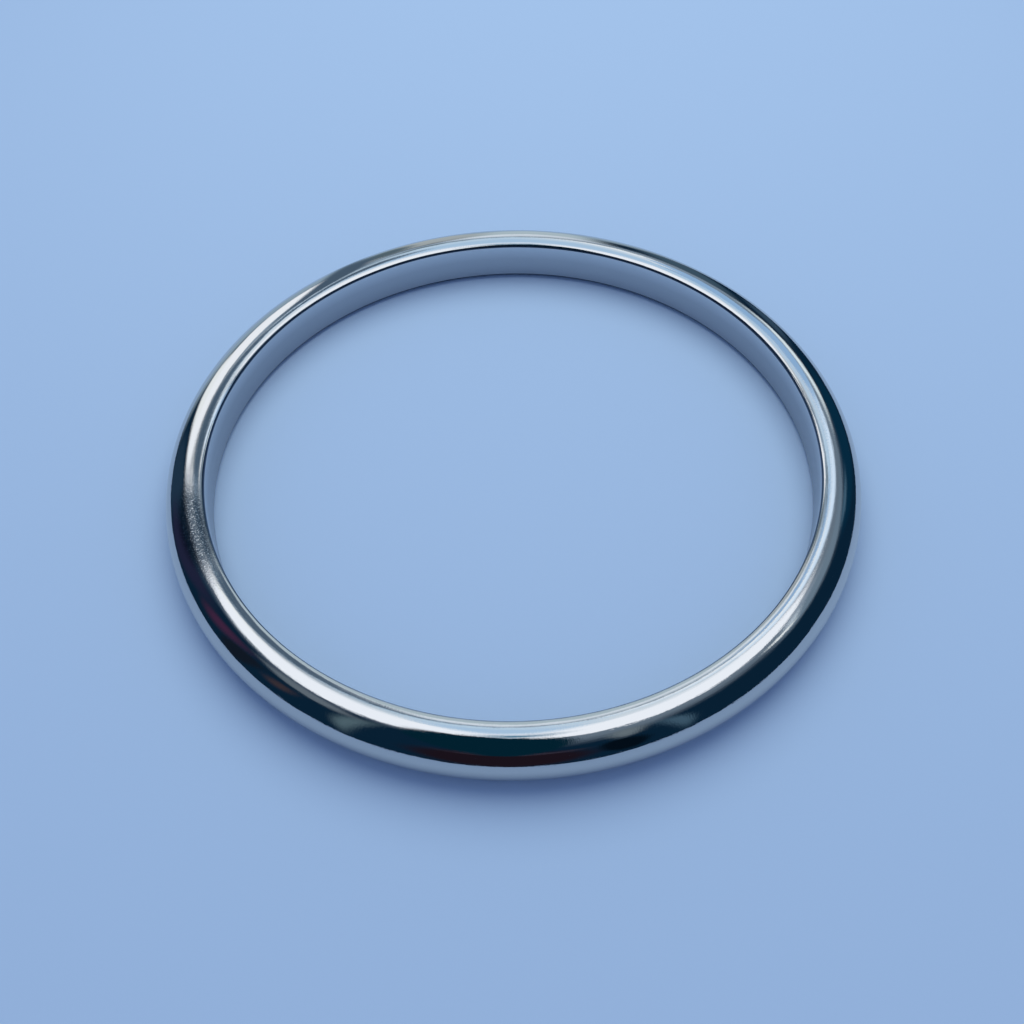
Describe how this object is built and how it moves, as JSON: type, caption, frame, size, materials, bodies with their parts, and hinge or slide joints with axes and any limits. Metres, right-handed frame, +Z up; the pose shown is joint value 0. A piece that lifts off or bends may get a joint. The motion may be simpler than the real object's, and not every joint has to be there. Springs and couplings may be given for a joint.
{
  "type": "bangle",
  "caption": "Plain closed round bangle of solid polished metal, flat on the wrist side and domed outside, with lightly eased rims.",
  "frame": {"origin": "centre of the bottom of the bounding box, on the ring's axis, where the bangle rests on a surface", "axes": "+Z up along the ring's axis, as it lies on its side; +X and +Y are any two square directions across the ring"},
  "size_m": [0.0794, 0.0794, 0.006],
  "materials": {
    "polished_steel": "mirror-polished stainless steel with fine scratches, satin on the wrist side"
  },
  "bodies": {
    "root": {"band": "polished_steel"}
  },
  "joints": []
}
